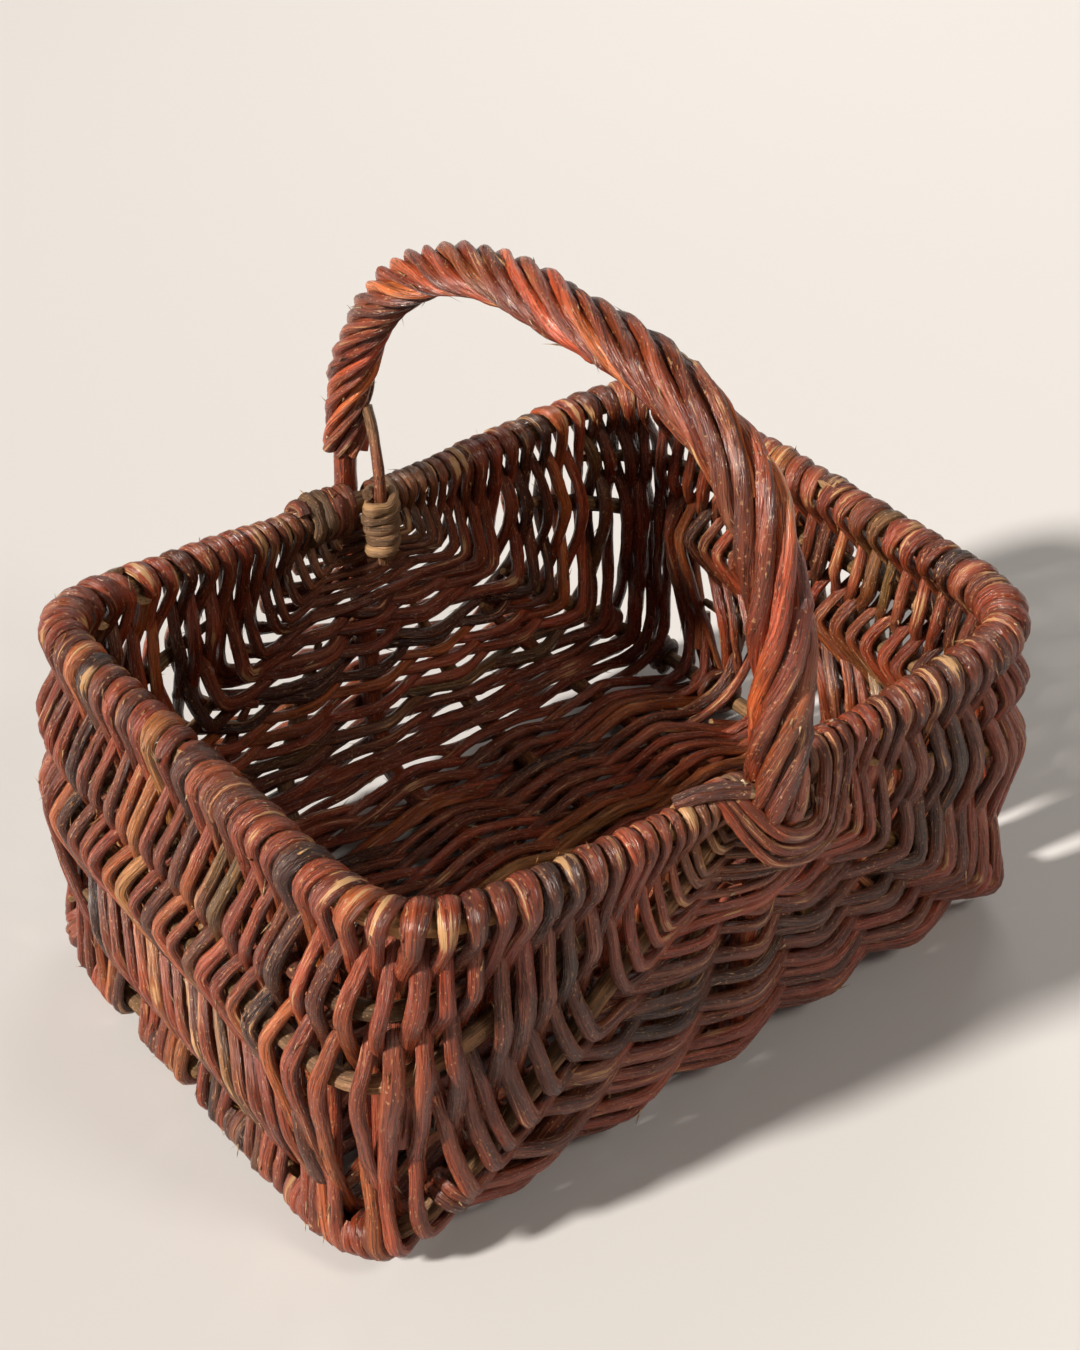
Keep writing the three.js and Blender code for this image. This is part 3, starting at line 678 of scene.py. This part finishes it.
def weave_half(half):
    """Cuts the weaving of one half into rods, each its own object."""
    chain = weaving_chain(half)
    points = np.array([station[0] for station in chain])
    values = np.array([[*station[1], *station[2:], index] for index, station in enumerate(chain)])
    path, carried, places = bent_curve(points, values, WEAVE_STEP, BEND_EASE)
    station_at = np.clip(carried[:, 6], 0, len(chain) - 1.001)
    spans = np.linalg.norm(np.diff(points, axis=0), axis=1)[station_at.astype(int)]
    long_span = smooth((spans - LONG_SPAN[0]) / (LONG_SPAN[1] - LONG_SPAN[0]))
    between = np.sin(station_at % 1 * math.pi) * long_span
    nodes = [f"{half}_weaver_{i + 1:02d}" for i in range(WEAVERS_PER_HALF)]
    cuts = [0.0]
    while cuts[-1] < places[-1]:
        cuts.append(cuts[-1] + rng.uniform(*ROD_LENGTH))
    cuts[-1] = places[-1]
    if cuts[-1] - cuts[-2] < ROD_LENGTH[0] / 2:
        cuts.pop(-2)
    count = len(cuts) - 1
    for i, (start, end) in enumerate(zip(cuts[:-1], cuts[1:])):
        inside = (places >= start - JOINT_OVERLAP) & (places <= end + JOINT_OVERLAP)
        way, local = path[inside].copy(), places[inside] - places[inside][0]
        up, flat, at = carried[inside, :3], carried[inside, 3], carried[inside, 4]
        length = local[-1]
        butt_first = rng.random() < 0.5
        taper = mix(*(BUTT_AND_TIP if butt_first else BUTT_AND_TIP[::-1]), local / length)
        size = np.array([rod_width(d) for d in at]) * carried[inside, 5] * taper * rng.uniform(*ROD_SIZES)
        size *= 1 - SLIMMER_BETWEEN * between[inside]
        tangents = np.gradient(way, axis=0)
        across = unit_rows(np.cross(tangents, up))
        calm = (1 - flat / RIM_FLATNESS)[:, None]
        way += across * wander(local, SWAY[0])[:, None] * calm + up * wander(local, SWAY[1])[:, None] * calm
        slide = np.exp(-local / 30) * 0.5 - np.exp(-(length - local) / 30) * 0.5
        way += across * (slide * size)[:, None]
        way[:, 2] = np.maximum(way[:, 2], size / 2 + ABOVE_FLOOR)
        pair = BARK_PAIRS[rng.choice(len(BARK_PAIRS), p=BARK_WEIGHTS)]
        colours = rod_colours(local, pair)
        dryness = smooth((DRY_UNTIL - at) / DRY_FADE)[:, None] * DRYNESS
        colours = mix(colours, np.array(PALETTE["grey"]), dryness)
        wear = wear_along(way, local)
        rod = RodMesh()
        thickness = size * ROD_FLATNESS * (1 - FLATTENING * flat) / np.clip(carried[inside, 5], 1, None)
        rod.add(way, up, size * (1 + flat), thickness, colours, wear)
        piece = rod.build(f"{half}_weave_rod_{i + 1:02d}", bark)
        first = int(round(i * len(nodes) / count))
        last = max(int(round((i + 1) * len(nodes) / count)), first + 1)
        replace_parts(piece, *nodes[first:last])


ROUND_SIDES = 14
LOOP_STEP = 8
RIB_PAIRS = (("olive", "brown"), ("grey", "olive"), ("olive", "grey"))


def plain_rod(mesh, path_points, radius_at, names, step=5, up=(0, 0, 1), wear=0.1, cut="tan", knots=True):
    """A round rod through given points."""
    values = np.repeat(np.array([list(up)], dtype=float), len(path_points), axis=0)
    path, carried, places = bent_curve(path_points, values, step)
    size = 2 * np.array([radius_at(place / places[-1]) for place in places])
    colours = rod_colours(places, names)
    mesh.add(path, carried, size, size, colours, np.full(len(path), wear), ROUND_SIDES, PALETTE[cut], knots)


def closed_loop(there, back):
    """Two lines with the same ends, as one loop of points."""
    return np.concatenate([there.points, back.points[::-1][1:]])[::LOOP_STEP]


def build_frame_rods():
    rim = RodMesh()
    rim_loop = closed_loop(rim_lines[1], rim_lines[-1])
    plain_rod(rim, rim_loop, lambda share: RIM_RADIUS - CORE_SLACK, ("grey", "tan"))
    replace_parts(rim.build("rim_core", peeled), "rim_rod")
    hoop = RodMesh()
    hoop_loop = closed_loop(hoop_arch, hoop_base)
    plain_rod(hoop, hoop_loop, lambda share: HOOP_RADIUS - CORE_SLACK, ("mauve", "red"), up=(1, 0, 0))
    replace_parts(hoop.build("hoop_core", handle_bark), "handle_hoop")
    for rib in RIBS:
        for side in (-1, 1):
            line = rib[side]
            start = line_distance(line, "near", rib["from"]) - RIB_TIP_REACH
            inside = (line.lengths > start) & (line.lengths < line.length - start)
            points = line.points[inside][::6]

            def radius_at(share, start=start, length=line.length):
                distance = mix(start, length - start, share)
                from_end = min(distance, length - distance) - start
                return mix(RIB_TIP_RADIUS, RIB_RADIUS, np.clip(from_end / RIB_TAPER, 0, 1)) - RIB_SLACK

            rod = RodMesh()
            pair = RIB_PAIRS[rng.integers(3)]
            plain_rod(rod, points, radius_at, pair, up=(0, 1, 0))
            name = f"{'left' if side < 0 else 'right'}_{rib['name']}_rib"
            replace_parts(rod.build(f"{name}_rod", peeled), name)


# Handle wrap: rods twisted round the hoop, slack by the near foot and tight by the far one. Two more join
# further up, where the first ones are thinner. For each one, in order round the hoop: where it starts, from
# the near foot, the strand it belongs to, and its colours.
STRANDS = [
    (-3, 1, ("red", "orange")),
    (6, 2, ("mauve", "red")),
    (120, 2, ("brown", "red")),
    (3, 3, ("red", "orange")),
    (-9, 4, ("red", "brown")),
    (-12, 5, ("brown", "mauve")),
    (150, 5, ("orange", "red")),
    (-7, 6, ("red", "mauve")),
]
STRAND_JOIN = 70
STRAND_LEADS = (200, 122)
STRAND_THICKNESS = (11.4, 9.0)
STRAND_SUNK = 3.4
STRAND_STEP = 2.6
STRAND_END = 30
STRAND_PHASE = math.radians(20)
TUCK_LENGTH = 14


def handle_centre(place):
    return hoop_arch.point(place) if place > 0 else hoop_base.point(-place)


def strand_shares(places):
    """How much of the way round the hoop each strand takes, at each place."""
    joined = []
    for start, _, _ in STRANDS:
        joins_later = start > STRAND_JOIN
        joined.append(smooth((places - start) / STRAND_JOIN) if joins_later else np.ones(len(places)))
    return np.array(joined) / np.sum(joined, axis=0)


def handle_shares(places):
    return np.clip(places / (hoop_arch.length - STRAND_END), 0, 1)


def strand_leads(places):
    """How long one turn of the wrap is, at each place."""
    return mix(*STRAND_LEADS, smooth((handle_shares(places) - 0.05) / 0.7))


def turned_along(places):
    """How far the wrap has turned since the first place."""
    return np.concatenate([[0], np.cumsum(2 * math.pi / strand_leads(places)[1:] * np.diff(places))])


def build_handle():
    for i, (start, number, names) in enumerate(STRANDS):
        end = hoop_arch.length - STRAND_END - rng.uniform(-5, 5)
        places = np.arange(start, end, STRAND_STEP)
        turned = turned_along(places) + turned_along(np.linspace(0, start, 200))[-1] + STRAND_PHASE
        centre = np.array([handle_centre(place) for place in places])
        along = unit_rows(np.gradient(centre, axis=0))
        first = np.repeat(v(1, 0, 0)[None], len(places), axis=0)
        second = np.cross(along, first)
        shares = strand_shares(places)
        round_hoop = (np.sum(shares[:i], axis=0) + shares[i] / 2) * 2 * math.pi
        angle = turned + round_hoop + wander(places, 0.12, (60, 120, 260))
        radial = first * np.cos(angle)[:, None] + second * np.sin(angle)[:, None]
        tuck = smooth(-places / TUCK_LENGTH)
        fullness = np.clip(shares[i] * len(STRANDS), 0.25, 1)
        thickness = mix(*STRAND_THICKNESS, smooth(handle_shares(places)))
        thickness = thickness * (1 + wander(places, 0.12, (70, 150))) * (1 - 0.45 * tuck)
        reach = HOOP_RADIUS + thickness / 2 - STRAND_SUNK + np.abs(wander(places, 1.0, (50, 90))) - 4 * tuck
        slope = np.arctan(2 * math.pi * reach / strand_leads(places))
        width = np.maximum(2 * math.pi * reach * shares[i] * np.cos(slope), 2) * rng.uniform(0.94, 1.06)
        colours = rod_colours(places, names, 0.2)
        wear = np.clip(wander(places, 0.6, (30, 70, 160)), 0, 1)
        rod = RodMesh()
        path = centre + radial * (reach - (1 - fullness) * 2)[:, None]
        width *= 1 - 0.3 * tuck
        rod.add(path, radial, width, thickness * fullness**0.5, colours, wear, ROUND_SIDES)
        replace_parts(rod.build(f"handle_twist_{i + 1}", handle_bark), f"handle_strand_{number}")


COIL_STEPS = 22


def coil(
    mesh, place_at, turns, pitch, reach, width, thickness, names, wear=0.2, looseness=0.5, unevenness=0.12
):
    """A rod or strip wound round something at a steady pitch."""
    turn = np.linspace(0, turns, int(turns * COIL_STEPS) + 1)
    path, ups = [], []
    for value in turn:
        point, first, second = place_at(value * pitch)
        angle = value * 2 * math.pi
        radial = first * math.cos(angle) + second * math.sin(angle)
        path.append(point + radial * reach)
        ups.append(radial)
    path, ups = np.array(path), np.array(ups)
    places = distances_along(path)
    size = 1 + wander(places, unevenness, (12, 25, 60))
    path += ups * np.abs(wander(places, looseness, (15, 40)))[:, None]
    colours = rod_colours(places, names, 0.2)
    wears = np.full(len(path), wear)
    mesh.add(path, ups, width * size, thickness * size, colours, wears, cut=PALETTE["grey"], knots=False)


# Bindings on the rim beside the handle: one is thick and loose, the others are thin and neat
BINDING_START = 7.5
THICK_BINDING = "far_left_binding"
THICK_COIL = {
    "turns": 4.6, "pitch": 6.8, "reach": RIM_RADIUS + 4.6, "width": 8.4, "thickness": 6.4,
    "names": ("grey", "mauve"), "looseness": 1.6, "unevenness": 0.25,
}
THIN_COIL = {
    "turns": 3, "pitch": 4.0, "reach": RIM_RADIUS + 2.0, "width": 5.0, "thickness": 4.0,
    "names": ("grey", "brown"),
}

# The nest under the near foot: rods that hang from the rim on the left of the handle, pass in front of the
# hoop and go up over the rim on the right. For each: how far down it hangs, its radius and its colours.
NEST_RODS = [(0, 3.3, ("mauve", "brown")), (8.5, 2.8, ("brown", "red")), (16, 2.6, ("mauve", "brown"))]
NEST_PATH = [
    v(-21, -150, 200), v(-20, -157, 206.5), v(-18, -165, 204), v(-13, -173, 196), v(-6, -180.5, 187),
    v(2, -183, 182), v(14, -181, 177.5), v(25, -176.5, 177), v(32, -171, 183), v(35, -168.5, 193),
    v(36.5, -165, 201), v(36.5, -157, 206.3), v(36, -150, 200),
]
NEST_SAG = (0, 0, 0.2, 0.7, 1, 1, 1, 0.9, 0.6, 0.3, 0, 0, 0)
NEST_WIDENING = 38
CUT_RADIUS = 4.2
CUT_ROD = [v(-44, -153, 204), v(-36, -158, 208.5), v(-26, -163, 209.5), v(-15, -169, 208)]
SLANTING_CUT = [v(-18, -167.3, 209.2), v(-13, -170, 207.2), v(-7, -173, 204)]


def build_bindings():
    for half in ("near", "far"):
        for side_name, side in (("left", -1), ("right", 1)):
            line = rim_lines[side]

            def place_at(distance, half=half, line=line):
                along = BINDING_START + distance
                at = along if half == "near" else line.length - along
                return line.point(at), v(0, 0, -1), rim_outwards(line, at)

            rod = RodMesh()
            name = f"{half}_{side_name}_binding"
            coil(rod, place_at, **(THICK_COIL if name == THICK_BINDING else THIN_COIL))
            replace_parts(rod.build(f"{name}_strip", dry_bark), name)


def build_nest():
    """Three hanging rods, and beside them one rod with a slanting pale cut."""
    nest = RodMesh()
    for drop, radius, names in NEST_RODS:
        wider = v(1 + drop / NEST_WIDENING, 1, 1)
        hang = [point * wider - v(0, 0, drop * sag) for point, sag in zip(NEST_PATH, NEST_SAG)]
        plain_rod(nest, hang, lambda share, radius=radius: radius, names, step=2, up=(0, 1, 0), wear=0.3)
    bare = {"step": 2, "cut": "cream", "knots": False}
    plain_rod(nest, CUT_ROD, lambda share: CUT_RADIUS, ("mauve", "brown"), **bare)
    plain_rod(nest, SLANTING_CUT, lambda share: mix(4.3, 2.2, share), ("cream", "pale"), **bare)
    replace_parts(nest.build("near_nest_rods", handle_bark), "near_left_binding")


EDGE_WRAP_PITCH = 5.6
EDGE_WRAP_INSET = 1.5
EDGE_WRAP_COIL = {
    "pitch": EDGE_WRAP_PITCH, "reach": RIB_RADIUS + 3.3, "width": 7.2, "thickness": 6.6,
    "wear": 0.15, "looseness": 0.8,
}


def edge_wrap_spots(rib, line):
    """The gaps between the bunches of weaving on a corner rib: (middle, half width)."""
    leg = line.turn_at
    spots = [(share * leg, EDGE_WRAP_HALF_WIDTH["leg"] * leg) for share in EDGE_WRAPS_ON_LEG]
    reach = line.length / 2 - line.turn_at
    for share in EDGE_WRAPS_ON_END:
        middle = line.turn_at + share * reach + rib["drag"] * smooth(share * reach / DRAG_FADE)
        spots.append((middle, EDGE_WRAP_HALF_WIDTH["end"] * reach))
    return spots


def build_edge_wraps():
    """Rods wound round the corner ribs, between the bunches of weaving."""
    rib = next(rib for rib in RIBS if rib["name"] == "corner")
    for side_name, side in (("left", -1), ("right", 1)):
        line = rib[side]
        for half in ("near", "far"):
            wraps = RodMesh()
            for middle, half_width in edge_wrap_spots(rib, line):
                start = middle - half_width + EDGE_WRAP_INSET

                def place_at(distance, line=line, half=half, start=start, side=side):
                    at = start + distance if half == "near" else line.length - start - distance
                    tangent = line.tangent(at)
                    down = unit(v(side, 0, -1) - tangent * np.dot(v(side, 0, -1), tangent))
                    return line.point(at), down, np.cross(tangent, down)

                pair = BARK_PAIRS[rng.choice(len(BARK_PAIRS), p=BARK_WEIGHTS)]
                turns = (2 * half_width - 2 * EDGE_WRAP_INSET) / EDGE_WRAP_PITCH
                coil(wraps, place_at, turns, names=pair, **EDGE_WRAP_COIL)
            name = f"{half}_{side_name}_edge_wraps"
            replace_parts(wraps.build(name, bark), f"{half}_weaver_12")


TAIL_INSET = 137
TAIL_TOP = 258
TAIL_RADIUS = 3.1
TAIL_BINDING_FOOT = 176
TAIL_COIL = {
    "turns": 5.4, "pitch": 6.6, "reach": 6.8, "width": 7.6, "thickness": 5.6,
    "names": ("grey", "tan"), "wear": 0.3, "looseness": 2.4, "unevenness": 0.3,
}


def build_far_tail():
    """The loose end of one rod of the handle, lashed down inside the far junction."""
    rod = RodMesh()
    tail = [
        v(4, 152, TAIL_TOP), v(4, 147, 244), v(2, 141, 228), v(0, TAIL_INSET, 214), v(0, TAIL_INSET, 168),
    ]
    plain_rod(rod, tail, lambda share: TAIL_RADIUS, ("grey", "mauve"), step=3, up=(1, 0, 0))
    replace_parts(rod.build("far_tail_rod", handle_bark), "far_handle_tail")
    lashing = RodMesh()

    def place_at(distance):
        return v(0, TAIL_INSET, TAIL_BINDING_FOOT + distance), v(1, 0, 0), v(0, 1, 0)

    coil(lashing, place_at, **TAIL_COIL)
    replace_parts(lashing.build("far_tail_lashing", dry_bark), "far_tail_binding")


weave_half("near")
weave_half("far")
build_frame_rods()
build_handle()
build_bindings()
build_nest()
build_edge_wraps()
build_far_tail()

# Floor: pale where it is seen, in a mirror and through glass too, and darker for the light that it returns
FLOOR_HALF = 15.0
FLOOR_SEEN = (0.66, 0.655, 0.65, 1)
FLOOR_RETURNS = (0.34, 0.20, 0.11, 1)
floor_mesh = bpy.data.meshes.new("floor")
floor_corners = [(x * FLOOR_HALF, y * FLOOR_HALF, 0) for x, y in ((-1, -1), (1, -1), (1, 1), (-1, 1))]
floor_mesh.from_pydata(floor_corners, [], [(0, 1, 2, 3)])
floor = bpy.data.objects.new("floor", floor_mesh)
bpy.context.scene.collection.objects.link(floor)
floor_material = bpy.data.materials.new("floor_paper")
floor_material.use_nodes = True
floor_tree = floor_material.node_tree
floor_shader = floor_tree.nodes["Principled BSDF"]
rays = node(floor_tree, "ShaderNodeLightPath").outputs
seen = maths(floor_tree, "MAXIMUM", rays["Is Camera Ray"], rays["Is Glossy Ray"])
seen = maths(floor_tree, "MAXIMUM", seen, rays["Is Transmission Ray"])
floor_colour = blend(floor_tree, seen, FLOOR_RETURNS, FLOOR_SEEN)
floor_tree.links.new(floor_colour, floor_shader.inputs["Base Color"])
floor_shader.inputs["Roughness"].default_value = 0.9
floor_mesh.materials.append(floor_material)

# Camera at the photograph's place
CAMERA_AZIMUTH = math.radians(-38.56)
CAMERA_ELEVATION = math.radians(35.90)
CAMERA_DISTANCE = 1.17088
CAMERA_TARGET = Vector((0.05058, 0.06239, 0.11102))
CAMERA_LENS = 56
back = Vector((
    math.sin(CAMERA_AZIMUTH) * math.cos(CAMERA_ELEVATION),
    -math.cos(CAMERA_AZIMUTH) * math.cos(CAMERA_ELEVATION),
    math.sin(CAMERA_ELEVATION),
))
right = Vector((math.cos(CAMERA_AZIMUTH), math.sin(CAMERA_AZIMUTH), 0))
camera_data = bpy.data.cameras.new("camera")
camera_data.lens = CAMERA_LENS
camera_data.sensor_width = 36
camera_data.sensor_fit = "AUTO"
camera = bpy.data.objects.new("camera", camera_data)
camera_place = Matrix.Translation(CAMERA_TARGET + back * CAMERA_DISTANCE)
camera_turn = Matrix((right, back.cross(right), back)).transposed().to_4x4()
camera.matrix_world = camera_place @ camera_turn
bpy.context.scene.collection.objects.link(camera)
bpy.context.scene.camera = camera


def light(name, kind, towards, power, colour, distance=0.0, **settings):
    """A lamp that shines on the basket from a given side."""
    data = bpy.data.lights.new(name, kind)
    data.energy = power
    data.color = colour
    for key, value in settings.items():
        setattr(data, key, value)
    lamp = bpy.data.objects.new(name, data)
    direction = Vector(towards).normalized()
    lamp.location = direction * distance
    lamp.rotation_euler = direction.to_track_quat("Z", "Y").to_euler()
    bpy.context.scene.collection.objects.link(lamp)


light("key", "SUN", (-0.93, 0.17, 0.54), 5.7, (1.0, 0.93, 0.85), angle=math.radians(6))
light("fill", "AREA", (0.25, -0.8, 0.9), 12, (1.0, 0.91, 0.82), distance=2.4, size=0.5)
light("back", "AREA", (0.8, 0.6, 0.8), 12, (1.0, 0.96, 0.92), distance=2.6, size=1.2)

# World: dim light from above, and a pale horizon behind the floor
HORIZON_BAND = (0.08, 0.3)
HORIZON_STRENGTH = 0.62
SKY_STRENGTH = 0.12
world = bpy.data.worlds.new("world")
world.use_nodes = True
background = world.node_tree.nodes["Background"]
background.inputs["Color"].default_value = (1.0, 0.91, 0.82, 1)
direction = node(world.node_tree, "ShaderNodeTexCoord").outputs["Generated"]
height = node(world.node_tree, "ShaderNodeSeparateXYZ", {0: direction}).outputs["Z"]
strength = ramp(world.node_tree, height, *HORIZON_BAND, HORIZON_STRENGTH, SKY_STRENGTH)
world.node_tree.links.new(strength, background.inputs["Strength"])
bpy.context.scene.world = world
bpy.context.scene.view_settings.view_transform = "Standard"
